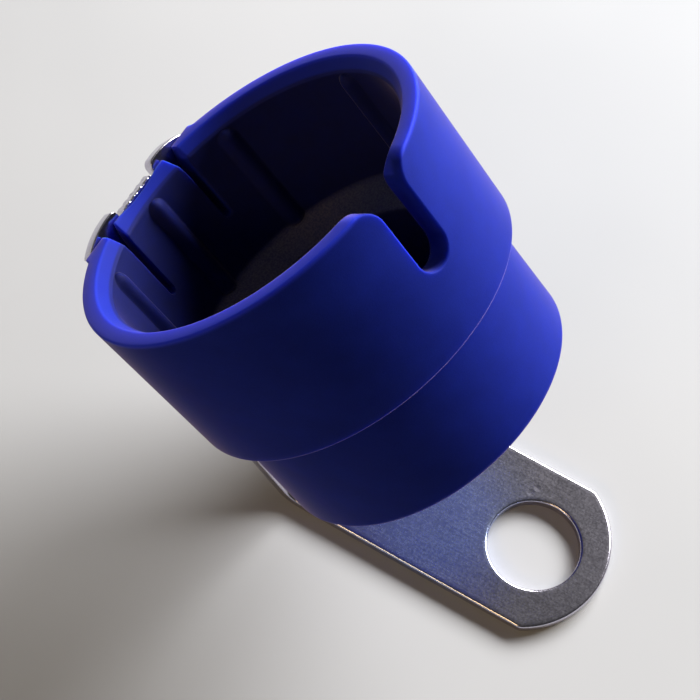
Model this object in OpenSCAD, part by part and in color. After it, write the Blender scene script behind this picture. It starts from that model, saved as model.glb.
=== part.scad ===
// Parking holder for a round keyed plug: a moulded cup carried by a bent steel strap.
// Frame: the bolt hole's axis is +Z, the tab's underside is z = 0, and +X runs from the bend to
// the tab's free end. Millimetres.

/* [Cup] */
// Outer diameter at the rim
rim_d = 51.4; // [51:0.1:52]
// Outer diameter of the upper section where it meets the step
step_d = 50.2; // [49.8:0.1:50.6]
// Outer diameter of the lower section
lower_d = 44.6; // [44:0.1:45]
// Height of the upper section, rim to step
upper_h = 23.4; // [23:0.1:24.5]
// Height of the whole cup, rim to bottom
cup_h = 41.5; // [40.5:0.1:43]
// Socket diameter just under the lead-in
bore_d = 44.4; // [44.2:0.1:44.6]
// Lead-in diameter at the rim
mouth_d = 47.1; // [46.6:0.1:47.4]
// Depth of the lead-in
lead_in_h = 1.9; // [1.5:0.1:2.2]
// Depth under the rim at which the socket's wall meets the conical seat
floor_depth = 19.6; // [19:0.1:20.2]
// Depth under the rim of the seat's inner edge
seat_depth = 22; // [21.5:0.1:22.5]
// Diameter of the lower bore, inside the seat
nose_d = 34.4; // [33:0.1:35.5]
// Thickness of the closed bottom
bottom_t = 2.6; // [2:0.1:3.5]

/* [Key slot] */
// Width of the slot opposite the strap
slot_w = 5.5; // [5:0.1:6]
// Depth of the slot to its round end
slot_depth = 13.9; // [13:0.1:14.5]
// Radius of the rounded corners at the slot's mouth
slot_corner_r = 3.5; // [3:0.1:4]

/* [Grip tongue] */
// Distance from the middle plane to each slit's centre line
slit_y = 7.1; // [6.9:0.1:7.3]
// Width of each slit
slit_w = 1.3; // [1.2:0.1:1.4]
// Extra width of a slit at the rim, on each of its sides
slit_flare = 0.6; // [0.4:0.1:0.7]
// Depth of the slits
slit_depth = 12.5; // [12:0.1:13]

/* [Grip ribs] */
// Width of a rib on the wall
rib_w = 3.0; // [2.6:0.1:3.2]
// Height of a rib off the wall
rib_h = 1.1; // [0.9:0.1:1.2]
// Angle between the tongue's rib and the next one on each side
rib_angle = 36; // [33:1:39]

/* [Strap] */
// Width of the steel strip
strap_w = 25; // [24.6:0.1:25.2]
// Thickness of the steel strip
strap_t = 2.0; // [1.9:0.1:2.1]
// Diameter of the bolt hole
hole_d = 14; // [13:0.1:15]
// Distance from the bend's inner corner to the hole
corner_to_hole = 34.9; // [34:0.1:36]
// Length of the leg, from the bend's inner corner to the rim
leg_len = 54.5; // [54:0.1:56]
// Angle that the strip is bent through
bend_angle = 54.3; // [53:0.1:56]
// Inner radius of the bend
bend_r = 3; // [2:0.1:4]
// Radius of the tab's round end
end_r = 14.4; // [14:0.1:15]
// Distance from the hole back to the centre of the round end
end_back = 3; // [2.6:0.1:3.2]
// Radius of the corners between the round end and the sides
end_corner_r = 2; // [1.5:0.1:2.5]
// Height of each ear's round top above the rim
ear_rise = 1.2; // [0.8:0.1:1.4]

/* [Hidden] */
$fn = 96;

// Cup placing: the strap leans away from the cup's axis going down.
lean = 6.4;
tilt = 90 - bend_angle + lean;
pad_x = 23.55;
pad_half = 12.4;
pad_gap = 0.05;
rim_x = -corner_to_hole - leg_len * cos(bend_angle) + pad_x * cos(tilt);
rim_z = strap_t + leg_len * sin(bend_angle) + pad_x * sin(tilt);

// Tongue root: a round knuckle in a round seat.
root_depth = slit_depth - slit_w / 2;
slit_out = slit_y + slit_w / 2;
tongue_half = slit_y - slit_w / 2;
flare_depth = 4;
knuckle_x = -23.45;
knuckle_r = 1.05;
seat_gap = 0.05;
root_gap = 0.4;
back_gap = 0.3;

// Keeper loop on the back of the upper section.
keeper_top = 7;
keeper_bottom = 18;
keeper_t = 2.2;
keeper_gap = 0.2;
neck_half = pad_half - keeper_t;

// Ribs
rib_r = (rib_w * rib_w / 4 + rib_h * rib_h) / (2 * rib_h);
rib_top = 2.2;

// Strap
bend_run = bend_r * tan(bend_angle / 2);
tab_half = strap_w / 2;
cut_in = 3.35;
cut_out = 4.2;
ear_base = leg_len - 6;
ear_r = 10.5;
ear_mid = 5.8;
ear_side = neck_half + 1.4;
shear = 17;
corner_y = tab_half - end_corner_r;
corner_x = sqrt(pow(end_r - end_corner_r, 2) - corner_y * corner_y) - end_back;

// Points along a bend arc of radius r, between two angles from the tab
function bend_arc(r, from, to, n = 12) = [
  for (i = [0:n])
    let (a = -90 - from - (to - from) * i / n)
      [-corner_to_hole + bend_run + r * cos(a), strap_t + bend_r + r * sin(a)]
];

module cup_frame() {
  translate([rim_x, 0, rim_z]) rotate([0, -tilt, 0]) children();
}

module pad_frame() {
  translate([-pad_x, 0, 0]) rotate([0, lean, 0]) children();
}

module leg_frame() {
  translate([-corner_to_hole, 0, strap_t]) rotate([0, bend_angle - 180, 0]) children();
}

// Outside of the cup, turned
module outer_form() {
  edge = 0.4;
  foot = 0.8;
  rotate_extrude()
    polygon([
      [0, 0],
      [rim_d / 2 - edge, 0],
      [rim_d / 2, -edge],
      [step_d / 2, -upper_h],
      [lower_d / 2, -upper_h],
      [lower_d / 2, -cup_h + foot],
      [lower_d / 2 - foot, -cup_h],
      [0, -cup_h],
    ]);
}

// Socket with its lead-in and conical seat, and the lower bore
module socket_void() {
  slope = (mouth_d - bore_d) / 2 / lead_in_h;
  rotate_extrude()
    polygon([
      [0, 1],
      [mouth_d / 2 + slope, 1],
      [bore_d / 2, -lead_in_h],
      [bore_d / 2 - 0.1, -floor_depth],
      [nose_d / 2, -seat_depth],
      [nose_d / 2 - 0.3, -cup_h + bottom_t],
      [0, -cup_h + bottom_t],
    ]);
}

module grip_rib(a) {
  rotate([0, 0, a])
    translate([bore_d / 2 - rib_h + rib_r, 0, 0]) {
      translate([0, 0, -floor_depth - 0.5])
        cylinder(r = rib_r, h = floor_depth + 0.5 - rib_top - rib_r);
      translate([0, 0, -rib_top - rib_r])
        sphere(r = rib_r);
    }
}

// Wall, pad and ribs before the slot and the slits are cut
module blank() {
  difference() {
    union() {
      difference() {
        union() {
          outer_form();
          intersection() {
            pad_frame() translate([0, -pad_half, -30]) cube([12, 2 * pad_half, 40]);
            translate([-40, -20, -upper_h]) cube([40, 40, upper_h]);
          }
        }
        socket_void();
      }
      for (a = [180, 180 - rib_angle, 180 + rib_angle, 90, 270])
        grip_rib(a);
    }
    pad_frame() translate([pad_gap - 20, -30, -30]) cube([20, 60, 40]);
  }
}

module slot_cut() {
  round_z = -slot_depth + slot_w / 2;
  translate([16, -slot_w / 2, round_z]) cube([20, slot_w, slot_depth]);
  translate([16, 0, round_z]) rotate([0, 90, 0]) cylinder(d = slot_w, h = 20);
  difference() {
    translate([16, -slot_w / 2 - slot_corner_r, -slot_corner_r])
      cube([20, slot_w + 2 * slot_corner_r, slot_corner_r + 1]);
    for (s = [-1, 1])
      translate([15, s * (slot_w / 2 + slot_corner_r), -slot_corner_r])
        rotate([0, 90, 0]) cylinder(r = slot_corner_r, h = 22);
  }
}

// A prism along X whose sides lean by "flare" over the flare's depth
module flared_prism(half, flare, base) {
  top = flare * (flare_depth + 1) / flare_depth;
  translate([-34, 0, 0])
    rotate([90, 0, 90])
      linear_extrude(height = 18)
        polygon([
          [-half, base],
          [half, base],
          [half, -flare_depth],
          [half + top, 1],
          [-half - top, 1],
          [-half, -flare_depth],
        ]);
}

module knuckle(r, half) {
  translate([knuckle_x, half, -root_depth]) rotate([90, 0, 0]) cylinder(r = r, h = 2 * half);
}

module tongue_window() {
  flared_prism(slit_out, slit_flare, -root_depth);
  for (s = [-1, 1])
    translate([-34, s * slit_y, -root_depth]) rotate([0, 90, 0]) cylinder(d = slit_w, h = 18);
  knuckle(knuckle_r + seat_gap, slit_y);
}

// Loop behind the pad that the strap's neck passes through
module keeper() {
  h = keeper_bottom - keeper_top;
  reach = strap_t + keeper_gap + keeper_t;
  pad_frame()
    translate([-reach, -pad_half, -keeper_bottom])
      difference() {
        cube([reach + 0.4, 2 * pad_half, h]);
        translate([keeper_t, pad_half - neck_half - keeper_gap, -1])
          cube([reach, 2 * (neck_half + keeper_gap), h + 2]);
      }
}

module cup() {
  color("mediumblue")
    cup_frame() {
      difference() {
        blank();
        slot_cut();
        tongue_window();
      }
      keeper();
    }
}

module grip_tongue() {
  color("royalblue")
    cup_frame() {
      intersection() {
        blank();
        flared_prism(tongue_half, -slit_flare, -root_depth + root_gap);
        pad_frame() translate([back_gap, -20, -30]) cube([12, 40, 40]);
      }
      knuckle(knuckle_r, tongue_half - 0.1);
    }
}

// Strip seen from the side: tab, bend and leg
module strip() {
  up = [-cos(bend_angle), sin(bend_angle)];
  out = [-sin(bend_angle), -cos(bend_angle)];
  top = [-corner_to_hole, strap_t] + (leg_len + ear_rise) * up;
  translate([0, tab_half, 0])
    rotate([90, 0, 0])
      linear_extrude(height = strap_w)
        polygon(concat(
          [[corner_x, 0]],
          bend_arc(bend_r + strap_t, 0, bend_angle),
          [top + strap_t * out, top],
          bend_arc(bend_r, bend_angle, 0),
          [[corner_x, strap_t]]
        ));
}

// Round end of the tab with its eased corners
module round_end() {
  wedge = 2 * end_r;
  for (s = [-1, 1])
    translate([corner_x, s * corner_y, 0]) cylinder(r = end_corner_r, h = strap_t);
  intersection() {
    translate([-end_back, 0, 0]) cylinder(r = end_r, h = strap_t);
    translate([-end_back, 0, 0])
      linear_extrude(height = strap_t)
        polygon([
          [0, 0],
          [wedge, -wedge * corner_y / (corner_x + end_back)],
          [wedge, wedge * corner_y / (corner_x + end_back)],
        ]);
  }
}

// What is cut from the strip: the sides of the neck and of the ears, which are spread sideways above
// the keeper, the cuts beside the middle tab, and the sheared top ends, which fall away to the back:
// flat on the middle tab and round on the ears
module neck_cuts() {
  shoulder = leg_len - keeper_bottom - keeper_gap;
  cut_r = (cut_out - cut_in) / 2;
  deep = strap_t + 2;
  for (s = [-1, 1]) {
    translate([0, 0, -1])
      linear_extrude(height = deep)
        polygon([
          [shoulder, s * neck_half],
          [ear_base, s * neck_half],
          [leg_len + 3, s * (ear_side + (ear_side - neck_half) * 3 / (leg_len - ear_base))],
          [leg_len + 3, s * 20],
          [shoulder, s * 20],
        ]);
    translate([ear_base, s > 0 ? cut_in : -cut_out, -1]) cube([20, cut_out - cut_in, deep]);
    translate([ear_base, s * (cut_in + cut_r), -1]) cylinder(r = cut_r, h = deep);
    difference() {
      translate([leg_len - 3, s > 0 ? cut_out - 0.1 : -tab_half - 1, -1])
        cube([8, tab_half - cut_out + 1.1, deep]);
      translate([leg_len + ear_rise - ear_r, s * ear_mid, 0])
        rotate([0, -shear, 0])
          translate([0, 0, -4])
            cylinder(r = ear_r, h = 10);
    }
  }
  translate([leg_len, 0, 0])
    rotate([0, -shear, 0])
      translate([0, -cut_in - 0.1, -3])
        cube([8, 2 * cut_in + 0.2, 9]);
}

module mounting_strap() {
  color("silver")
    difference() {
      union() {
        strip();
        round_end();
      }
      leg_frame() neck_cuts();
      translate([0, 0, -1]) cylinder(d = hole_d, h = strap_t + 2);
    }
}

cup();
grip_tongue();
mounting_strap();
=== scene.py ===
"""Plug parking holder: a blue moulded cup with a grip tongue, on a bent steel strap."""

import bmesh
import bpy
import numpy as np
from mathutils import Matrix


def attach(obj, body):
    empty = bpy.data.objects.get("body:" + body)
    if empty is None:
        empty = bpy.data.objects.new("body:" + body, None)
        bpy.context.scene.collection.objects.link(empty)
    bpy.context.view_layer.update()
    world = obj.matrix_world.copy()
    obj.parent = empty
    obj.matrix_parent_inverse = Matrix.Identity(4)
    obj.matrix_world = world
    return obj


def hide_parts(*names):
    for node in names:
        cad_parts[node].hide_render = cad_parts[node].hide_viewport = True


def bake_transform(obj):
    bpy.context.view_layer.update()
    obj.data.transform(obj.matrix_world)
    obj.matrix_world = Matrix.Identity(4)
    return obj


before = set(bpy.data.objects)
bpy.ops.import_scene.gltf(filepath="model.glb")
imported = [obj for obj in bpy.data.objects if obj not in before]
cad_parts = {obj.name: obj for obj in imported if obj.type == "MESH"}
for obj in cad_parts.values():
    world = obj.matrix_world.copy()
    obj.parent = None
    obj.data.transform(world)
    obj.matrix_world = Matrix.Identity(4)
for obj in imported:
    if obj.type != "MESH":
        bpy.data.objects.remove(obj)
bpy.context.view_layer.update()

# Sizes in millimetres, the same as in the part's source.
MM = 0.001
RIM_R = 25.7
STEP_R = 25.1
LOWER_R = 22.3
UPPER_H = 23.4
CUP_H = 41.5
BORE_R = 22.2
DRAFT = 0.1
MOUTH_R = 23.55
LEAD_IN = 1.9
FLOOR_DEPTH = 19.6
SEAT_DEPTH = 22.0
NOSE_R = 17.2
BOTTOM_T = 2.6
SLOT_HALF = 2.75
SLOT_DEPTH = 13.9
SLOT_CORNER = 3.5
SLIT_Y = 7.1
SLIT_HALF = 0.65
SLIT_IN = SLIT_Y - SLIT_HALF
SLIT_OUT = SLIT_Y + SLIT_HALF
SLIT_FLARE = 0.6
FLARE_DEPTH = 4.0
ROOT_DEPTH = 11.85
PAD_X = 23.55
PAD_HALF = 12.4
PAD_GAP = 0.05
BACK_GAP = 0.3
STRAP_HALF = 12.5
STRAP_T = 2.0
HOLE_R = 7.0
CORNER_TO_HOLE = 34.9
LEG_LEN = 54.5
BEND = np.radians(54.3)
BEND_R = 3.0
BEND_RUN = BEND_R * np.tan(BEND / 2)
TAB_START = -CORNER_TO_HOLE + BEND_RUN
END_R = 14.4
END_BACK = 3.0
END_CORNER = 2.0
EAR_BASE = LEG_LEN - 6
EAR_RISE = 1.2
EAR_R = 10.5
EAR_MID = 5.8
SHEAR = np.tan(np.radians(17))
CUT_IN = 3.35
CUT_OUT = 4.2
NECK_HALF = 10.2
EAR_SIDE = 11.6
SHOULDER = 36.3
LEAN = np.radians(6.4)
TILT = np.pi / 2 - BEND + LEAN
RIM_X = float(-CORNER_TO_HOLE - LEG_LEN * np.cos(BEND) + PAD_X * np.cos(TILT))
RIM_Z = float(STRAP_T + LEG_LEN * np.sin(BEND) + PAD_X * np.sin(TILT))
CUP_AXIS = (-float(np.sin(TILT)), 0.0, float(np.cos(TILT)))

# Sizes of the scene alone: eased edges, the length by which stretches of the strap run into each
# other, and the radius at which the places across the cup's cuts are measured.
STRIP_EASE = 0.45
HOLE_EASE = 0.40
OVERLAP = 0.5
REF_R = 23.9


def stack(x, y, z):
    """Points from three coordinates that broadcast together."""
    return np.stack(np.broadcast_arrays(x, y, z), axis=-1).astype(float)


def cup_to_world(points):
    """Cup millimetres to metres in the part's frame: a turn about Y by the tilt, then a shift to
    the rim's centre. In the cup x points to the slot and z out of the mouth."""
    x, y, z = np.moveaxis(points, -1, 0)
    world_x = RIM_X + x * np.cos(TILT) - z * np.sin(TILT)
    world_z = RIM_Z + x * np.sin(TILT) + z * np.cos(TILT)
    return MM * stack(world_x, y, world_z)


def pad_to_cup(points):
    """Pad millimetres to cup millimetres: x is the pad's inward normal and z runs up the strap, so
    it is a turn about Y by the lean and a shift to the pad's face at the rim."""
    x, y, z = np.moveaxis(points, -1, 0)
    cup_x = -PAD_X + x * np.cos(LEAN) + z * np.sin(LEAN)
    cup_z = -x * np.sin(LEAN) + z * np.cos(LEAN)
    return stack(cup_x, y, cup_z)


def leg_to_world(points):
    """Strap-leg millimetres to metres: the first number runs up the leg from the bend's inner
    corner, the second across it and the third out of its back."""
    along, across, out = np.moveaxis(points, -1, 0)
    world_x = -CORNER_TO_HOLE - along * np.cos(BEND) - out * np.sin(BEND)
    world_z = STRAP_T + along * np.sin(BEND) - out * np.cos(BEND)
    return MM * stack(world_x, across, world_z)


def fade(x, low, high):
    """1 up to low, 0 from high, and a smooth cubic step between them."""
    t = np.clip((high - x) / (high - low), 0, 1)
    return t * t * (3 - 2 * t)


class Shell:
    """A grid of points, rows by columns, that closes into one skin."""

    def __init__(self, points, wrap_rows=False, wrap_columns=False, caps=False):
        self.points = points
        rows, columns = points.shape[:2]
        row = np.arange(rows if wrap_rows else rows - 1)
        column = np.arange(columns if wrap_columns else columns - 1)
        r, c = np.meshgrid(row, column, indexing="ij")
        here = r * columns
        above = (r + 1) % rows * columns
        beside = (c + 1) % columns
        corners = [here + c, here + beside, above + beside, above + c]
        self.quads = np.stack(corners, axis=-1).reshape(-1, 4)
        self.rings = []
        if caps:
            first = np.arange(columns)
            self.rings = [first[::-1], first + (rows - 1) * columns]
        if self.volume() < 0:
            self.quads = self.quads[:, ::-1]
            self.rings = [ring[::-1] for ring in self.rings]

    def volume(self):
        """Signed volume of the skin, from the triple products of its quads and end rings."""
        flat = self.points.reshape(-1, 3)
        flat = flat - flat.mean(axis=0)
        a, b, c, d = (flat[self.quads[:, i]] for i in range(4))
        total = (np.cross(a, b) * c).sum() + (np.cross(a, c) * d).sum()
        for ring in self.rings:
            loop = flat[ring]
            middle = loop.mean(axis=0)
            total += (np.cross(loop, np.roll(loop, -1, axis=0)) @ middle).sum()
        return total


def put(name, data):
    """A new object at the origin, in the scene."""
    obj = bpy.data.objects.new(name, data)
    bpy.context.collection.objects.link(obj)
    return obj


def piece(name, shells, finish):
    """One mesh object from several skins; points that fall together are merged, so poles and seams
    close. Edges sharper than a set angle are shaded sharp."""
    together = 2e-7
    sharp = np.radians(50)
    points, faces, start = [], [], 0
    for shell in shells:
        flat = shell.points.reshape(-1, 3)
        points.append(flat)
        faces += (shell.quads + start).tolist()
        faces += [(ring + start).tolist() for ring in shell.rings]
        start += len(flat)
    mesh = bpy.data.meshes.new(name)
    mesh.from_pydata(np.concatenate(points).tolist(), [], faces)
    work = bmesh.new()
    work.from_mesh(mesh)
    bmesh.ops.remove_doubles(work, verts=work.verts, dist=together)
    work.to_mesh(mesh)
    work.free()
    mesh.polygons.foreach_set("use_smooth", np.ones(len(mesh.polygons), dtype=bool))
    mesh.set_sharp_from_angle(angle=sharp)
    mesh.materials.append(finish)
    obj = put(name, mesh)
    return obj


# Materials

class Field:
    """A socket's value; arithmetic on it adds Math nodes to its tree."""

    def __init__(self, tree, socket):
        self.tree = tree
        self.socket = socket

    def math(self, operation, *values):
        """A Math node on these values, each a field or a number."""
        node = self.tree.nodes.new("ShaderNodeMath")
        node.operation = operation
        for slot_in, value in zip(node.inputs, values):
            if isinstance(value, Field):
                self.tree.links.new(value.socket, slot_in)
            else:
                slot_in.default_value = value
        return Field(self.tree, node.outputs[0])

    def __add__(self, other):
        return self.math("ADD", self, other)

    def __radd__(self, other):
        return self.math("ADD", other, self)

    def __sub__(self, other):
        return self.math("SUBTRACT", self, other)

    def __rsub__(self, other):
        return self.math("SUBTRACT", other, self)

    def __mul__(self, other):
        return self.math("MULTIPLY", self, other)

    def __rmul__(self, other):
        return self.math("MULTIPLY", other, self)

    def __truediv__(self, other):
        return self.math("DIVIDE", self, other)

    def __rtruediv__(self, other):
        return self.math("DIVIDE", other, self)

    def larger(self, other):
        """The larger of this and another value."""
        return self.math("MAXIMUM", self, other)


class Finish:
    """A material with one Principled shader, and a method that adds any other node."""

    def __init__(self, name):
        self.material = bpy.data.materials.new(name)
        self.material.use_nodes = True
        self.tree = self.material.node_tree
        self.shader = self.tree.nodes["Principled BSDF"]
        self.place = self.node("ShaderNodeTexCoord").outputs["Object"]

    def node(self, kind, settings=None, **sockets):
        """A node of any kind: its settings first, then its sockets."""
        made = self.tree.nodes.new(kind)
        for name, value in (settings or {}).items():
            if name == "stops":
                ramp = made.color_ramp.elements
                while len(ramp) < len(value):
                    ramp.new(1.0)
                for stop, (position, colour) in zip(ramp, value):
                    stop.position = position
                    stop.color = colour
            else:
                setattr(made, name, value)
        for name, value in sockets.items():
            self.plug(made, name, value)
        return made

    def plug(self, made, name, value):
        """Link or set a socket, given by name with _ for a space, or by number after a _."""
        index = int(name[1:]) if name[0] == "_" else name.replace("_", " ")
        socket = made.inputs[index]
        if isinstance(value, Field):
            value = value.socket
        if isinstance(value, bpy.types.NodeSocket):
            self.tree.links.new(value, socket)
        else:
            socket.default_value = value

    def field(self, socket):
        """A socket's value, ready for arithmetic."""
        return Field(self.tree, socket)

    def noise(self, per_mm, detail=2.0, roughness=0.5):
        """Noise with about per_mm features in a millimetre, one number or one for each axis, from
        0 to 1."""
        per_metre = tuple(1000 * v for v in np.broadcast_to(per_mm, 3).tolist())
        scaled = self.node("ShaderNodeMapping", _0=self.place, Scale=per_metre).outputs[0]
        made = self.node("ShaderNodeTexNoise", Vector=scaled, Scale=1.0, Detail=detail,
                         Roughness=roughness)
        return self.field(made.outputs[0])

    def ramp(self, value, stops):
        """A colour for a value, from (value, colour) stops."""
        return self.node("ShaderNodeValToRGB", {"stops": stops}, Fac=value).outputs[0]

    def mix(self, factor, first, second):
        """The first colour at factor 0 and the second at 1."""
        made = self.node("ShaderNodeMix", {"data_type": "RGBA"}, _0=factor, _6=first, _7=second)
        return made.outputs[2]

    def vector(self, operation, *values):
        """A Vector Math node on one or two vectors."""
        sockets = {f"_{i}": value for i, value in enumerate(values)}
        return self.node("ShaderNodeVectorMath", {"operation": operation}, **sockets)

    def near(self, x, y, z, reach):
        """1 at a point given in millimetres, falling to 0 at the reach."""
        away = self.vector("DISTANCE", self.place, (x * MM, y * MM, z * MM))
        gone = self.field(away.outputs["Value"]) / (reach * MM)
        return (1 - gone).larger(0.0)

    def cup_height(self):
        """Height over the cup's rim in millimetres, along the cup's axis."""
        rim_height = RIM_X * CUP_AXIS[0] + RIM_Z * CUP_AXIS[2]
        along = self.vector("DOT_PRODUCT", self.place, CUP_AXIS)
        return self.field(along.outputs["Value"]) / MM - rim_height

    def cup_radius(self):
        """Distance from the cup's axis in millimetres: the length of the cross product of the way
        from the rim's centre and the axis."""
        off = self.vector("SUBTRACT", self.place, (RIM_X * MM, 0.0, RIM_Z * MM))
        across = self.vector("CROSS_PRODUCT", off.outputs[0], CUP_AXIS)
        length = self.vector("LENGTH", across.outputs[0])
        return self.field(length.outputs["Value"]) / MM

    def step(self, value, low, high):
        """0 below low, 1 above high and a smooth step between them."""
        made = self.node("ShaderNodeMapRange", {"interpolation_type": "SMOOTHSTEP"}, Value=value,
                         From_Min=low, From_Max=high)
        return self.field(made.outputs[0])

    def bump(self, height, strength, distance_mm):
        """The shader's normal, tipped by a height."""
        made = self.node("ShaderNodeBump", Strength=strength, Distance=distance_mm * MM,
                         Height=height)
        self.plug(self.shader, "Normal", made.outputs[0])


def moulded_blue():
    """Satin blue moulding: deep blue with soft flow mottling and a fine spark-eroded grain. The thin
    rim and the lead-in are painted a lighter blue, a painted glow of the light that gets into the
    thin wall, and a pale sheen shows at a flat angle. The inside of the socket is painted darker,
    a painted shade, and the seat carries a painted warm reflection, browner away from the slot."""
    deep_blue = (0.0030, 0.0090, 0.155, 1)
    mid_blue = (0.0055, 0.0150, 0.23, 1)
    # Painted glow: a lighter blue standing in for light that gets into the thin rim.
    painted_glow_blue = (0.020, 0.036, 0.48, 1)
    # Painted shade: a dark blue for the shade inside the socket.
    painted_shade_blue = (0.012, 0.012, 0.036, 1)
    # Painted reflection: warm brown and slate tones standing in for warm light reflected on the seat.
    painted_warm_reflection = (0.26, 0.22, 0.24, 1)
    painted_slate_reflection = (0.10, 0.115, 0.20, 1)
    seat_by_slot = (-31.5, 18.4, 49.8)
    f = Finish("moulded_blue")
    flow = f.noise((0.05, 0.05, 0.16), detail=3.0)
    cloud = f.noise(0.35, detail=2.0)
    grain = f.noise(5.5, detail=1.0)
    speck = f.noise(3.5, detail=3.0)
    height = f.cup_height()
    radius = f.cup_radius()
    within_wall = 1 - f.step(radius, BORE_R + 0.15, BORE_R + 0.4)
    wall = within_wall * f.step(height, -SEAT_DEPTH - 1.2, -SEAT_DEPTH - 0.6)
    within_bore = 1 - f.step(radius, NOSE_R + 0.2, NOSE_R + 0.7)
    bore = within_bore * f.step(height, -CUP_H + 0.9, -CUP_H + 1.5)
    inside = wall.larger(bore)
    within_mouth = 1 - f.step(radius, MOUTH_R + 0.05, MOUTH_R + 1.05)
    lead_in = f.step(height, -LEAD_IN - 0.2, -LEAD_IN + 0.2) * within_mouth
    tone = flow * 0.45 + cloud * 0.25 + grain * 0.3
    body = f.ramp(tone, [(0.3, deep_blue), (0.7, mid_blue)])
    # Painted glow: the rim's top and the lead-in are mixed towards the lighter blue.
    thin = f.step(height, -0.8, -0.1).larger(lead_in * 0.65)
    rim = f.mix(thin * 0.85, body, painted_glow_blue)
    # Painted shade: the inside of the socket is darkened towards the dark blue.
    socket = f.mix(inside * (0.45 + cloud * 0.35), rim, painted_shade_blue)
    below_wall = 1 - f.step(height, -FLOOR_DEPTH - 0.6, -FLOOR_DEPTH + 0.4)
    on_seat = inside * below_wall * f.step(height, -SEAT_DEPTH - 1.0, -SEAT_DEPTH)
    # Painted reflection on the seat, speckled, browner away from the slot; it also roughens the seat.
    seat_reflection = on_seat * (0.35 + f.step(speck, 0.3, 0.7) * 0.4 + cloud * 0.25)
    by_slot = f.step(f.near(*seat_by_slot, 34.0), 0.2, 0.7)
    seat_reflection_colour = f.mix(by_slot, painted_warm_reflection, painted_slate_reflection)
    f.plug(f.shader, "Base Color", f.mix(seat_reflection * 0.7, socket, seat_reflection_colour))
    f.plug(f.shader, "Roughness", 0.48 + cloud * 0.10 + grain * 0.10 + seat_reflection * 0.12)
    f.plug(f.shader, "IOR", 1.49)
    f.plug(f.shader, "Specular IOR Level", 0.05)
    f.plug(f.shader, "Sheen Weight", 0.5)
    f.plug(f.shader, "Sheen Roughness", 0.25)
    f.plug(f.shader, "Sheen Tint", (1.0, 0.70, 0.74, 1))
    f.plug(f.shader, "Subsurface Weight", 0.7)
    f.plug(f.shader, "Subsurface Radius", (0.6, 1.0, 3.0))
    f.plug(f.shader, "Subsurface Scale", MM)
    f.bump(grain, 0.20, 0.05)
    return f.material


def zinc_steel():
    """Bright zinc on rolled strip: grey with a fine frosted grain, faint rolling lines along the
    strip, a painted blue reflection of the cup next to it and two small dents beside the hole."""
    dark_zinc = (0.44, 0.42, 0.49, 1)
    pale_zinc = (0.68, 0.65, 0.75, 1)
    # Painted reflection: a blue standing in for the cup reflected in the zinc.
    painted_cup_reflection = (0.28, 0.42, 0.88, 1)
    f = Finish("zinc_steel")
    frost = f.noise(3.2, detail=3.0, roughness=0.6)
    cloud = f.noise(0.25, detail=3.0)
    rolling = f.noise((0.12, 4.0, 0.12), detail=2.0)
    colour = f.ramp(frost * 0.6 + cloud * 0.4, [(0.3, dark_zinc), (0.7, pale_zinc)])
    # Painted reflection: the blue is mixed in on the tab near the cup.
    cup_reflection_mask = f.step(f.near(-15.0, -4.0, STRAP_T, 20.0), 0.05, 0.75)
    f.plug(f.shader, "Base Color", f.mix(cup_reflection_mask * 0.65, colour, painted_cup_reflection))
    f.plug(f.shader, "Metallic", 1.0)
    f.plug(f.shader, "Roughness", 0.15 + frost * 0.10 + rolling * 0.05 + cup_reflection_mask * 0.04)
    dents = f.near(-4.2, 7.1, STRAP_T, 0.7) + f.near(-3.8, 8.3, STRAP_T, 0.6)
    f.bump(frost * 0.18 + rolling * 0.12 - dents, 0.30, 0.10)
    return f.material


def pale_floor():
    """Plain pale matt surface with a barely visible tooth."""
    low_tooth = (0.41, 0.415, 0.43, 1)
    high_tooth = (0.43, 0.435, 0.45, 1)
    f = Finish("pale_floor")
    tooth = f.noise(0.02, detail=2.0)
    f.plug(f.shader, "Base Color", f.ramp(tooth, [(0.3, low_tooth), (0.7, high_tooth)]))
    f.plug(f.shader, "Roughness", 0.9)
    f.plug(f.shader, "Specular IOR Level", 0.1)
    return f.material


BLUE = moulded_blue()
ZINC = zinc_steel()


# Cup

def inner_radius(z):
    """Socket radius at a height: a slight draft up to the lead-in, then the lead-in's cone."""
    slope = (MOUTH_R - BORE_R) / LEAD_IN
    levels = [-FLOOR_DEPTH, -LEAD_IN, 0.0, 1.0]
    return np.interp(z, levels, [BORE_R - DRAFT, BORE_R, MOUTH_R, MOUTH_R + slope])


def outer_radius(z):
    """Outside radius of the upper section at a height, with its draft."""
    return np.interp(z, [-UPPER_H, 0.0], [STEP_R, RIM_R])


def lateral(y):
    """Angle, in degrees, whose sine times the reference radius is y."""
    return np.degrees(np.arcsin(y / REF_R))


def parallel_angle(a, r, keep):
    """Angle at radius r of the column at lateral angle a. Near the slot and the tongue the cuts are
    parallel to the middle plane, so the sine shrinks with r there; elsewhere columns are radial."""
    front = np.degrees(np.arcsin(np.clip(REF_R * np.sin(np.radians(a)) / r, -1, 1)))
    near_slot = fade(a, 18, 36) * keep
    near_tongue = fade(180 - a, 24, 45) * keep
    return a + near_slot * (front - a) + near_tongue * (180 - front - a)


def inner_point(a, z, keep=1.0):
    """Point on the socket wall."""
    r = inner_radius(z)
    angle = np.radians(parallel_angle(a, r, keep))
    return stack(r * np.cos(angle), r * np.sin(angle), z)


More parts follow.
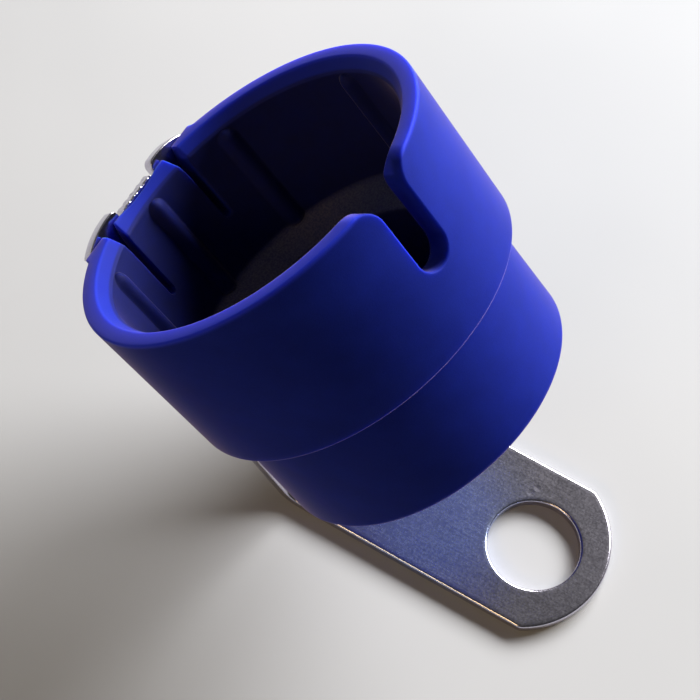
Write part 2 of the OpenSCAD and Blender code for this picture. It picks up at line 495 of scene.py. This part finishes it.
def back_outline(b, z):
    """Outside outline at b degrees from the back: the pad's flat face, its side, then the round."""
    r = outer_radius(z)
    flat_x = -(PAD_X - PAD_GAP) + np.tan(LEAN) * z
    corner = lateral(PAD_HALF)
    foot = corner + 4.0
    free = 62.0
    meet = np.degrees(np.arcsin(PAD_HALF / r))
    side = np.clip((b - corner) / (foot - corner), 0, 1)
    side_x = flat_x + side * (-np.sqrt(r * r - PAD_HALF ** 2) - flat_x)
    round_b = np.where(b < free, meet + (b - foot) * (free - meet) / (free - foot), b)
    turn = np.radians(round_b)
    x = np.where(b < foot, side_x, -r * np.cos(turn))
    beyond_y = np.where(b < foot, PAD_HALF, r * np.sin(turn))
    y = np.where(b < corner, REF_R * np.sin(np.radians(b)), beyond_y)
    return x, y


def outer_point(a, z, keep=1.0):
    """Point on the outside of the upper section. The pad's corners are eased by averaging the
    outline over about one degree each way."""
    r = outer_radius(z)
    angle = np.radians(parallel_angle(a, r, keep))
    shifts = (-0.9, -0.45, 0.0, 0.45, 0.9)
    eased = [back_outline(np.abs(180 - a) + shift, z) for shift in shifts]
    back_x = np.mean([x for x, y in eased], axis=0)
    back_y = np.mean([y for x, y in eased], axis=0)
    at_back = a > 110
    x = np.where(at_back, back_x, r * np.cos(angle))
    y = np.where(at_back, back_y, r * np.sin(angle))
    return stack(x, y, z)


def top_edge():
    """Half of the cup's top edge from the slot's bottom round to the tongue's root: lateral angle
    and height of each column, the angle that the column has where it reaches the floor, and how
    much its edges are eased, which ends at the tongue's root because the tongue's skin carries on
    from there."""
    quarter = np.radians(np.linspace(0, 90, 15)[:-1])
    half_turn = np.radians(np.linspace(0, 180, 13)[:-1])
    rise = np.linspace(0, 1, 13)[:-1]
    flare = np.linspace(0, 1, 11)[:-1]
    drop = np.linspace(0, 1, 15)[:-1]
    corner_y = SLOT_HALF + SLOT_CORNER
    bottom_z = -SLOT_DEPTH + SLOT_HALF
    rim_from = lateral(corner_y)
    rim_to = 180 - lateral(SLIT_OUT + SLIT_FLARE)
    rim = np.linspace(rim_from, rim_to, 151)[:-1]
    root_y = np.linspace(SLIT_IN, 0, 15)
    parts = [
        (lateral(SLOT_HALF * np.sin(quarter)), bottom_z - SLOT_HALF * np.cos(quarter)),
        (lateral(SLOT_HALF) + 0 * rise, bottom_z + rise * (-SLOT_CORNER - bottom_z)),
        (lateral(corner_y - SLOT_CORNER * np.cos(quarter)), SLOT_CORNER * (np.sin(quarter) - 1)),
        (rim, 0 * rim),
        (180 - lateral(SLIT_OUT + SLIT_FLARE * (1 - flare) ** 2), -FLARE_DEPTH * flare),
        (180 - lateral(SLIT_OUT) + 0 * drop, -FLARE_DEPTH - drop * (ROOT_DEPTH - FLARE_DEPTH)),
        (180 - lateral(SLIT_Y + SLIT_HALF * np.cos(half_turn)),
         -ROOT_DEPTH - SLIT_HALF * np.sin(half_turn)),
        (180 - lateral(root_y), 0 * root_y - ROOT_DEPTH),
    ]
    foot_ends = [0.0, 7.0, 11.0, 17.0, 153.0, 156.0, 161.0, 164.5, 180.0]
    angle = np.concatenate([place for place, level in parts])
    height = np.concatenate([level for place, level in parts])
    foot = [np.linspace(low, high, len(place), endpoint=False)
            for (place, level), low, high in zip(parts, foot_ends, foot_ends[1:])]
    foot[3] = np.interp(rim, [rim_from, 45, 130, rim_to], [foot_ends[3], 45, 130, foot_ends[4]])
    foot[-1] = np.linspace(foot_ends[-2], foot_ends[-1], len(root_y))
    soft = np.ones(len(angle))
    soft[-len(root_y):] = 0
    soft[-len(root_y) - len(half_turn):-len(root_y)] = np.clip(2 - np.degrees(half_turn) / 90, 0, 1)
    return angle, height, np.concatenate(foot), soft


def inset(angle, height, distance):
    """The top edge moved into the wall by a distance, square to itself on the unrolled wall."""
    s = np.radians(angle) * REF_R
    run = np.gradient(s)
    climb = np.gradient(height)
    length = np.hypot(run, climb)
    moved_s = s + distance * climb / length
    moved_z = height - distance * run / length
    moved_s[0] = s[0]
    moved_s[-1] = s[-1]
    return np.degrees(moved_s / REF_R), moved_z


def turned(foot, sections):
    """Rows of a turned surface: each (radius, height) pair is a ring at the columns' foot angles."""
    profile = np.array(sections, dtype=float)
    angle = np.radians(foot)[None, :]
    r = profile[:, :1]
    return stack(r * np.cos(angle), r * np.sin(angle), profile[:, 1:] + 0 * angle)


def arc_rows(centre_r, centre_z, radius, start, end, count):
    """(radius, height) pairs along an arc, in degrees."""
    turn = np.radians(np.linspace(start, end, count))
    return list(zip(centre_r + radius * np.cos(turn), centre_z + radius * np.sin(turn)))


def seat_profile():
    """(radius, height) pairs from the middle of the bore's bottom, up the bore and over the conical
    seat to the socket's wall. The corners are arcs that touch both sides."""
    deep = -CUP_H + BOTTOM_T
    heel = 0.8
    lip = 0.45
    nook = 0.4
    wall_r = BORE_R - DRAFT
    slope = np.degrees(np.arctan2(SEAT_DEPTH - FLOOR_DEPTH, wall_r - NOSE_R))
    cut = np.tan(np.radians(90 - slope) / 2)
    seat_r = np.linspace(NOSE_R + 0.6, BORE_R - 0.9, 5)
    seat_z = np.interp(seat_r, [NOSE_R, wall_r], [-SEAT_DEPTH, -FLOOR_DEPTH])
    rows = [(0, deep), (9, deep)]
    rows += arc_rows(NOSE_R - 0.3 - heel, deep + heel, heel, -90, 0, 6)
    rows += [(NOSE_R - 0.2, -33), (NOSE_R - 0.1, -27), (NOSE_R, -SEAT_DEPTH - lip)]
    rows += arc_rows(NOSE_R + lip, -SEAT_DEPTH - lip * cut, lip, 180, 90 + slope, 6)
    rows += list(zip(seat_r, seat_z))
    rows += arc_rows(wall_r - nook, -FLOOR_DEPTH + nook * cut, nook, slope - 90, 0, 5)
    return rows


def under_profile():
    """(radius, height) pairs from under the step down the lower section and in to the middle of the
    bottom, with an arc at each corner."""
    nook = 0.35
    foot = 0.8
    rows = [(LOWER_R + nook, -UPPER_H)]
    rows += arc_rows(LOWER_R + nook, -UPPER_H - nook, nook, 110, 180, 4)
    rows += [(LOWER_R, z) for z in np.linspace(-UPPER_H - 1.0, -CUP_H + 0.9, 12)]
    rows += arc_rows(LOWER_R - foot, -CUP_H + foot, foot, 0, -90, 7)
    rows += [(r, -CUP_H) for r in (LOWER_R - 1.2, 16, 8, 0)]
    return rows


def cup_half():
    """Half of the cup's skin, rows from the middle of the bore's bottom up over the conical seat
    and the socket wall, over the top edge, down the outside and under to the middle of the bottom.
    Between the top edge and the seat each column is a straight line on the unrolled wall."""
    angle, height, foot, soft = top_edge()
    inner_ease = 0.18 * soft
    outer_ease = 0.30 * soft
    edge_a, edge_z = inset(angle, height, inner_ease)
    brow_a, brow_z = inset(angle, height, outer_ease)
    low = -FLOOR_DEPTH + 1.0
    step_z = -UPPER_H + 0.3

    def on_wall(z, top_a, top_z, bottom, point):
        """Row at height z: each column's angle goes evenly from its top edge to its foot."""
        part = (top_z - z) / (top_z - bottom)
        return point(top_a + (foot - top_a) * part, z, 1 - part)[None]

    rows = [turned(foot, seat_profile())]
    crease = np.minimum(-LEAD_IN, edge_z - 0.1)
    wall = [low + (crease - low) * part for part in np.append(np.linspace(0, 0.96, 32), 0.99)]
    wall += [crease + (edge_z - crease) * part for part in (0.0, 0.08, 0.35, 0.65, 0.9, 1.0)]
    rows += [on_wall(z, edge_a, edge_z, low, inner_point) for z in wall]
    inner = inner_point(angle, height)
    outer = outer_point(angle, height)
    across = outer - inner
    across = across / np.linalg.norm(across, axis=-1, keepdims=True)
    quarter = np.radians([22.5, 45, 67.5, 90])
    for turn in quarter:
        eased = inner_point(*inset(angle, height, inner_ease * (1 - np.sin(turn))))
        rows.append((eased + (inner_ease * (1 - np.cos(turn)))[:, None] * across)[None])
    rows.append((inner + outer)[None] / 2)
    for turn in quarter[::-1]:
        eased = outer_point(*inset(angle, height, outer_ease * (1 - np.sin(turn))))
        rows.append((eased - (outer_ease * (1 - np.cos(turn)))[:, None] * across)[None])
    for part in np.append([0.0, 0.015], np.linspace(0.04, 1.0, 26)):
        z = brow_z + (step_z - brow_z) * part
        rows.append(on_wall(z, brow_a, brow_z, step_z, outer_point))
    step = outer_point(foot, np.full_like(foot, -UPPER_H), 0.0)
    out = step * [1, 1, 0]
    out = out / np.linalg.norm(out, axis=-1, keepdims=True)
    for sink, lift in ((0.02, 0.19), (0.09, 0.08), (0.30, 0.0)):
        rows.append((step - sink * out + [0, 0, lift])[None])
    rows.append(turned(foot, under_profile()))
    return np.concatenate(rows)


def cup_skin():
    """Whole cup: the half and its mirror image in the middle plane, joined column to column."""
    half = cup_half()
    mirrored = half[:, -2:0:-1] * [1, -1, 1]
    return Shell(cup_to_world(np.concatenate([half, mirrored], axis=1)), wrap_columns=True)


def grip_rib(angle):
    """Half-round rib on the socket wall: its height across is a parabola with softened feet, it is
    one section along the wall, and both shrink as a quarter ellipse at the top."""
    top = -2.0
    run_out = 1.6
    shoulder = top - run_out
    half = 2.2
    bow_half = 1.5
    bow_height = 1.1
    soften = 0.06
    buried = 0.4
    spread = np.linspace(-1, 1, 25)
    level = np.concatenate([np.linspace(-FLOOR_DEPTH - 0.2, shoulder, 16),
                            shoulder + run_out * np.sin(np.radians(np.linspace(8, 88, 9)))])
    rise = np.clip((level - shoulder) / run_out, 0, 1)
    size = np.sqrt(1 - rise * rise)[:, None]
    bow = bow_height * (1 - (spread * half / bow_half) ** 2)
    raised = 0.5 * (bow + np.sqrt(bow * bow + soften)) - soften
    across = half * spread[None, :] * size
    wall = inner_radius(level)[:, None]
    front = wall - raised[None, :] * size
    back = np.broadcast_to(wall + buried, front.shape)
    r = np.concatenate([front, back[:, ::-1]], axis=1)
    turn = np.radians(angle) + np.concatenate([across, across[:, ::-1]], axis=1) / BORE_R
    points = stack(r * np.cos(turn), r * np.sin(turn), level[:, None])
    return Shell(cup_to_world(points), wrap_columns=True, caps=True)


def tongue_skin():
    """The wall between the slits: for each place across it, one loop up the socket face, over the
    lead-in and the top, and down the flat back. The first and last loops are drawn in, which eases
    the sides. The top comes down where the lead-in would cut through the back."""
    ease = 0.15
    half_ease = 0.29 * ease
    closing = 0.82
    edge = 1 - np.array([0, half_ease, ease]) / SLIT_IN
    spread = np.concatenate([-edge, np.linspace(-0.95, 0.95, 33), edge[::-1]])
    drawn = np.zeros(len(spread))
    drawn[[0, -1]] = ease
    drawn[[1, -2]] = half_ease
    drawn = drawn[:, None]

    def half_width(z):
        """Half of the width at a height; the flare takes off a square of the way up it."""
        return SLIT_IN - SLIT_FLARE * np.clip(1 + z / FLARE_DEPTH, 0, 1) ** 2

    def socket_x(y, z):
        """Socket face: the circle of the socket's radius."""
        return -np.sqrt(inner_radius(z) ** 2 - y * y) - drawn

    def back_x(z):
        """Back: a plane that leans with the pad."""
        return -(PAD_X - BACK_GAP) + np.tan(LEAN) * z + drawn

    y_top = spread[:, None] * half_width(0.0)
    over = np.sqrt(MOUTH_R ** 2 - y_top ** 2) - (PAD_X - BACK_GAP) + 0.1
    top = -np.maximum(over, 0) / closing - drawn
    crease = np.minimum(-LEAD_IN, top - 0.2)
    wall = -ROOT_DEPTH + (crease + ROOT_DEPTH) * np.linspace(0, 1, 22)[None, :] ** 0.9
    slope = crease + (top - crease) * np.array([0.08, 0.35, 0.7, 0.92, 1.0])[None, :]
    down = top + (-ROOT_DEPTH - top) * np.array([0.0, 0.02, 0.15, 0.4, 0.7, 1.0])[None, :]
    z = np.concatenate([wall, slope, down], axis=1)
    y = spread[:, None] * half_width(z)
    faces = wall.shape[1] + slope.shape[1]
    x = np.concatenate([socket_x(y[:, :faces], z[:, :faces]), back_x(z[:, faces:])], axis=1)
    x[:, :faces] = np.maximum(x[:, :faces], back_x(z[:, :faces]) + 0.02)
    return Shell(cup_to_world(stack(x, y, z)), wrap_columns=True, caps=True)


def keeper_skin():
    """Loop behind the pad: a rounded rectangle carried round three sides of the strap's neck."""
    thick = 2.2
    height = 11.0
    middle_z = -12.5
    gap = 0.2
    bend = 1.6
    ease = 0.45
    middle_x = -STRAP_T - gap - thick / 2
    middle_y = PAD_HALF - thick / 2
    quarter = np.radians(np.linspace(0, 90, 9))
    side_x = np.linspace(0.5, middle_x + bend, 6)[:-1]
    cross_y = np.linspace(middle_y - bend, 0, 6)[1:]
    path_x = np.concatenate([side_x, middle_x + bend * (1 - np.sin(quarter)), middle_x + 0 * cross_y])
    path_y = np.concatenate([middle_y + 0 * side_x, middle_y - bend * (1 - np.cos(quarter)), cross_y])
    path_x = np.concatenate([path_x, path_x[-2::-1]])
    path_y = np.concatenate([path_y, -path_y[-2::-1]])
    run_x = np.gradient(path_x)
    run_y = np.gradient(path_y)
    length = np.hypot(run_x, run_y)
    side = np.stack([run_y, -run_x], axis=-1) / length[:, None]
    turn = np.radians(np.linspace(0, 90, 5))
    ring = np.concatenate([
        np.stack([sign_n * (thick / 2 - ease) + ease * np.cos(turn + k * np.pi / 2),
                  sign_z * (height / 2 - ease) + ease * np.sin(turn + k * np.pi / 2)], axis=-1)
        for k, (sign_n, sign_z) in enumerate([(1, 1), (-1, 1), (-1, -1), (1, -1)])])
    x = path_x[:, None] + side[:, :1] * ring[None, :, 0]
    y = path_y[:, None] + side[:, 1:] * ring[None, :, 0]
    z = middle_z + 0 * x + ring[None, :, 1]
    return Shell(cup_to_world(pad_to_cup(stack(x, y, z))), wrap_columns=True, caps=True)


# Strap

def strip_section(half, thick, ease):
    """Closed rounded rectangle across a strip: places across it and out of its back."""
    turn = np.radians(np.linspace(0, 90, 6))
    corners = [(1, 1, 0), (-1, 1, 90), (-1, 0, 180), (1, 0, 270)]
    across, out = [], []
    for side, far, start in corners:
        around = turn + np.radians(start)
        across.append(side * (half - ease) + ease * np.cos(around))
        out.append(np.where(far, thick - ease, ease) + ease * np.sin(around))
    return np.concatenate(across), np.concatenate(out)


def leg_strip():
    """Bend and leg up to the shoulders: the strip's section carried round the bend's arc and up the
    leg, and drawn in at the shoulders."""
    across, out = strip_section(STRAP_HALF, STRAP_T, STRIP_EASE)
    arc = np.linspace(0, BEND, 15)
    bend_x = TAB_START - (BEND_R + out[None, :]) * np.sin(arc[:, None])
    bend_z = STRAP_T + BEND_R - (BEND_R + out[None, :]) * np.cos(arc[:, None])
    bend = MM * stack(bend_x, across[None, :], bend_z)
    quarter = np.radians(np.linspace(0, 90, 5))
    straight = np.linspace(BEND_RUN, SHOULDER - STRIP_EASE, 7)[1:-1]
    along = np.append(straight, SHOULDER - STRIP_EASE * (1 - np.sin(quarter)))
    drawn = np.append(0 * straight, STRIP_EASE * (1 - np.cos(quarter)))
    narrow = (STRAP_HALF - drawn) / STRAP_HALF
    thin = (STRAP_T / 2 - drawn) / (STRAP_T / 2)
    leg_out = STRAP_T / 2 + (out[None, :] - STRAP_T / 2) * thin[:, None]
    leg = leg_to_world(stack(along[:, None], across[None, :] * narrow[:, None], leg_out))
    return Shell(np.concatenate([bend, leg]), wrap_columns=True, caps=True)


def upright(low, top, half, centre, widen=0.0, slant=0.0, ragged=0.0):
    """A length of strip up the leg. Its section is a rounded rectangle with the same places across
    on both faces. The rows rise from the foot to a top edge that is a function of the place across,
    turn in over a quarter circle and close on the strip's middle plane. The side away from the
    middle tab can widen going up. A sheared top falls away to the back by the slant and is ragged,
    a sum of two sines."""
    ease = 0.2
    sunk = 0.01
    sheared = 1.4
    quarter = np.radians(np.linspace(0, 90, 4))
    corner = half - ease + ease * np.cos(quarter)
    flat = np.linspace(half - ease, ease - half, 65)[1:-1]
    face_y = np.concatenate([corner, flat, -corner[::-1]])
    dip = ease * (1 - np.sin(quarter))
    face_n = np.concatenate([dip, 0 * flat, dip[::-1]]) + sunk
    across = np.concatenate([face_y, face_y[::-1]])
    out = np.concatenate([face_n, STRAP_T - face_n])
    climb = np.append(np.linspace(0, 0.8, 6), np.linspace(0.84, 1.0, 9))
    turn_in = ease * (1 - np.cos(quarter[1:]))
    drawn = np.concatenate([[0], 0 * climb, turn_in, [ease]])[:, None]
    thin = np.concatenate([[0], 1 + 0 * climb, 1 - 2 * turn_in / STRAP_T, [0]])[:, None]
    y = centre + across[None, :] * (half - drawn) / half
    n = STRAP_T / 2 + (out[None, :] - STRAP_T / 2) * thin
    share = np.concatenate([[0], climb, np.ones(len(quarter))])[:, None]
    inner_side = centre - np.sign(centre) * half
    y = inner_side + (y - inner_side) * (1 + widen * share)
    edge = top(y)
    lift = np.concatenate([[0], 0 * climb, ease * np.sin(quarter[1:]), [ease]])[:, None]
    along = low + (edge - ease - low) * share + lift
    near_top = 1 - fade(along, edge - sheared, edge)
    tear = 0.5 + 0.3 * np.sin(4.3 * y + 1.0 + 2.1 * n) + 0.2 * np.sin(11.7 * y + 3.0 * n)
    along = along - near_top * (slant * n + ragged * tear)
    return Shell(leg_to_world(stack(along, y, n)), wrap_columns=True)


def level_top(height):
    """Straight top edge at one height."""
    return lambda y: height + 0 * y


def ear_top(y):
    """Top edge of an ear: a round crown, with a small round at the corner next to the middle tab."""
    small = 0.9
    crown = LEG_LEN + EAR_RISE - EAR_R + np.sqrt(EAR_R ** 2 - (np.abs(y) - EAR_MID) ** 2)
    into = np.clip(small - (np.abs(y) - CUT_OUT), 0, small)
    return crown - small + np.sqrt(small ** 2 - into ** 2)


def tab_outline():
    """Outline of the tab, counter-clockwise from the bend line on the near side: side, eased
    corner, round end, eased corner, side, then back along the bend line. Also the inward normals,
    which on the bend line shrink it towards its middle."""
    ease_y = STRAP_HALF - END_CORNER
    corner_x = np.sqrt((END_R - END_CORNER) ** 2 - ease_y ** 2) - END_BACK
    spread = np.degrees(np.arctan2(ease_y, corner_x + END_BACK))
    small = np.radians(np.linspace(-90, -spread, 11))
    large = np.radians(np.linspace(-spread, spread, 81))[1:]
    other = np.radians(np.linspace(spread, 90, 11))[1:]
    turns = np.concatenate([small, large, other])
    side = np.linspace(TAB_START, corner_x, 31)[:-1]
    level = 0 * side
    line = np.linspace(1, -1, 41)
    x = np.concatenate([side, corner_x + END_CORNER * np.cos(small), -END_BACK + END_R * np.cos(large),
                        corner_x + END_CORNER * np.cos(other), side[::-1], TAB_START + 0 * line])
    y = np.concatenate([level - STRAP_HALF, -ease_y + END_CORNER * np.sin(small), END_R * np.sin(large),
                        ease_y + END_CORNER * np.sin(other), level + STRAP_HALF, STRAP_HALF * line])
    normal_x = np.concatenate([level, -np.cos(turns), level, 0 * line])
    normal_y = np.concatenate([level + 1, -np.sin(turns), level - 1, -line])
    return np.stack([x, y], axis=-1), np.stack([normal_x, normal_y], axis=-1)


def tab_plate():
    """Tab with the bolt hole: for each point of the outline, one loop across the top face from the
    hole to the outline, round its eased edge, back along the underside and up the hole's wall."""
    outline, inward = tab_outline()
    turn = np.arctan2(outline[:, 1], outline[:, 0])
    away = np.stack([np.cos(turn), np.sin(turn)], axis=-1)
    hole = HOLE_R * away
    brim = hole + 2 * HOLE_EASE * away
    quarter = np.radians(np.linspace(0, 90, 6))
    drawn = np.append(2 * STRIP_EASE, STRIP_EASE * (1 - np.sin(quarter)))
    dip = np.append(0.0, STRIP_EASE * (1 - np.cos(quarter)))
    lip = HOLE_EASE / STRIP_EASE
    loops = []

    def add(flat, z):
        """One more loop, at a height."""
        loops.append(stack(flat[:, 0], flat[:, 1], z))

    for reach, down in zip(drawn[::-1], dip[::-1]):
        add(hole + lip * reach * away, STRAP_T - lip * down)
    for part in (0.25, 0.5, 0.75):
        add(brim + part * (outline - brim), STRAP_T)
    for reach, down in zip(drawn, dip):
        add(outline + reach * inward, STRAP_T - down)
    for reach, down in zip(drawn[::-1], dip[::-1]):
        add(outline + reach * inward, down)
    for part in (0.75, 0.4):
        add(brim + part * (outline - brim), 0.0)
    for reach, down in zip(drawn, dip):
        add(hole + lip * reach * away, lip * down)
    return Shell(MM * np.stack(loops), wrap_rows=True, wrap_columns=True)


cup = piece("cup_moulding", [cup_skin()], BLUE)
keeper = piece("strap_keeper", [keeper_skin()], BLUE)
ribs = piece("grip_ribs", [grip_rib(a) for a in (144, 216, 90, 270)], BLUE)
tongue = piece("tongue_leaf", [tongue_skin()], BLUE)
tongue_rib = piece("tongue_rib", [grip_rib(180)], BLUE)
ear_half = (NECK_HALF - CUT_OUT) / 2
ear_centre = (NECK_HALF + CUT_OUT) / 2
ear_widen = (EAR_SIDE - NECK_HALF) / (NECK_HALF - CUT_OUT)
strap = piece("bent_strap", [
    tab_plate(),
    leg_strip(),
    upright(SHOULDER - OVERLAP, level_top(EAR_BASE), NECK_HALF, 0.0),
    upright(EAR_BASE - OVERLAP, level_top(LEG_LEN), CUT_IN, 0.0, slant=SHEAR, ragged=0.2),
    upright(EAR_BASE - OVERLAP, ear_top, ear_half, ear_centre, ear_widen, SHEAR),
    upright(EAR_BASE - OVERLAP, ear_top, ear_half, -ear_centre, ear_widen, SHEAR),
], ZINC)

# Two points on the tongue, at its root and a few millimetres above it, the stretch over which it bends.
leaf_x = -23.4
bent_length = 4.0
root = cup_to_world(np.array([leaf_x, 0.0, -ROOT_DEPTH])).tolist()
flexed = cup_to_world(np.array([leaf_x, 0.0, -ROOT_DEPTH + bent_length])).tolist()
for obj in (cup, keeper, ribs, strap):
    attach(obj, "holder")
for obj in (tongue, tongue_rib):
    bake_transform(obj)
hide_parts("cup")
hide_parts("grip_tongue")
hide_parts("mounting_strap")


# Floor, light and camera

def floor_sheet():
    """Flat square, a hair under the tab."""
    reach = 3.0
    level = -2e-5
    corners = [(-reach, -reach, level), (reach, -reach, level), (reach, reach, level),
               (-reach, reach, level)]
    mesh = bpy.data.meshes.new("floor")
    mesh.from_pydata(corners, [], [(0, 1, 2, 3)])
    mesh.materials.append(pale_floor())
    put("floor", mesh)


def stand(obj, place, right, up, back):
    """Put an object at a place, with its axes along three directions."""
    turn = np.eye(4)
    turn[:3, :3] = np.stack([right, up, back], axis=-1)
    turn[:3, 3] = place
    obj.matrix_world = Matrix(turn.tolist())


def soft_light(name, place, width, height, power, colour):
    """Rectangular area light that looks at the cup."""
    lamp = bpy.data.lights.new(name, "AREA")
    lamp.shape = "RECTANGLE"
    lamp.size = width
    lamp.size_y = height
    lamp.energy = power
    lamp.color = colour
    aim = np.array([-0.03, 0.0, 0.04])
    back = np.array(place) - aim
    back = back / np.linalg.norm(back)
    right = np.cross([0, 0, 1.0], back)
    right = right / np.linalg.norm(right)
    stand(put(name, lamp), place, right, np.cross(back, right), back)


def photo_camera():
    """Camera at the photo's place: its axes are the image's right, up and backward directions."""
    lens = bpy.data.cameras.new("photo_camera")
    lens.lens = 90.0
    lens.sensor_width = 36.0
    lens.sensor_fit = "HORIZONTAL"
    lens.clip_start = 0.01
    camera = put("photo_camera", lens)
    right = np.array([0.862638, 0.505115, 0.026728])
    up = np.array([-0.463486, 0.768172, 0.441693])
    stand(camera, (0.01581, -0.094621, 0.249099), right, up, np.cross(right, up))
    bpy.context.scene.camera = camera


floor_sheet()
soft_light("key", (0.109, 0.564, 0.333), 0.6, 0.27, 16.0, (1.0, 0.99, 0.97))
soft_light("overhead", (-0.45, -0.10, 0.70), 0.5, 0.5, 0.22, (0.92, 0.96, 1.0))
soft_light("warm_card", (-0.12, -0.53, 0.34), 0.3, 0.10, 0.9, (1.0, 0.70, 0.34))
world = bpy.data.worlds.new("studio")
world.use_nodes = True
surround = world.node_tree.nodes["Background"]
surround.inputs["Color"].default_value = (1, 1, 1, 1)
surround.inputs["Strength"].default_value = 0.045
bpy.context.scene.world = world
bpy.context.scene.view_settings.view_transform = "Standard"
photo_camera()
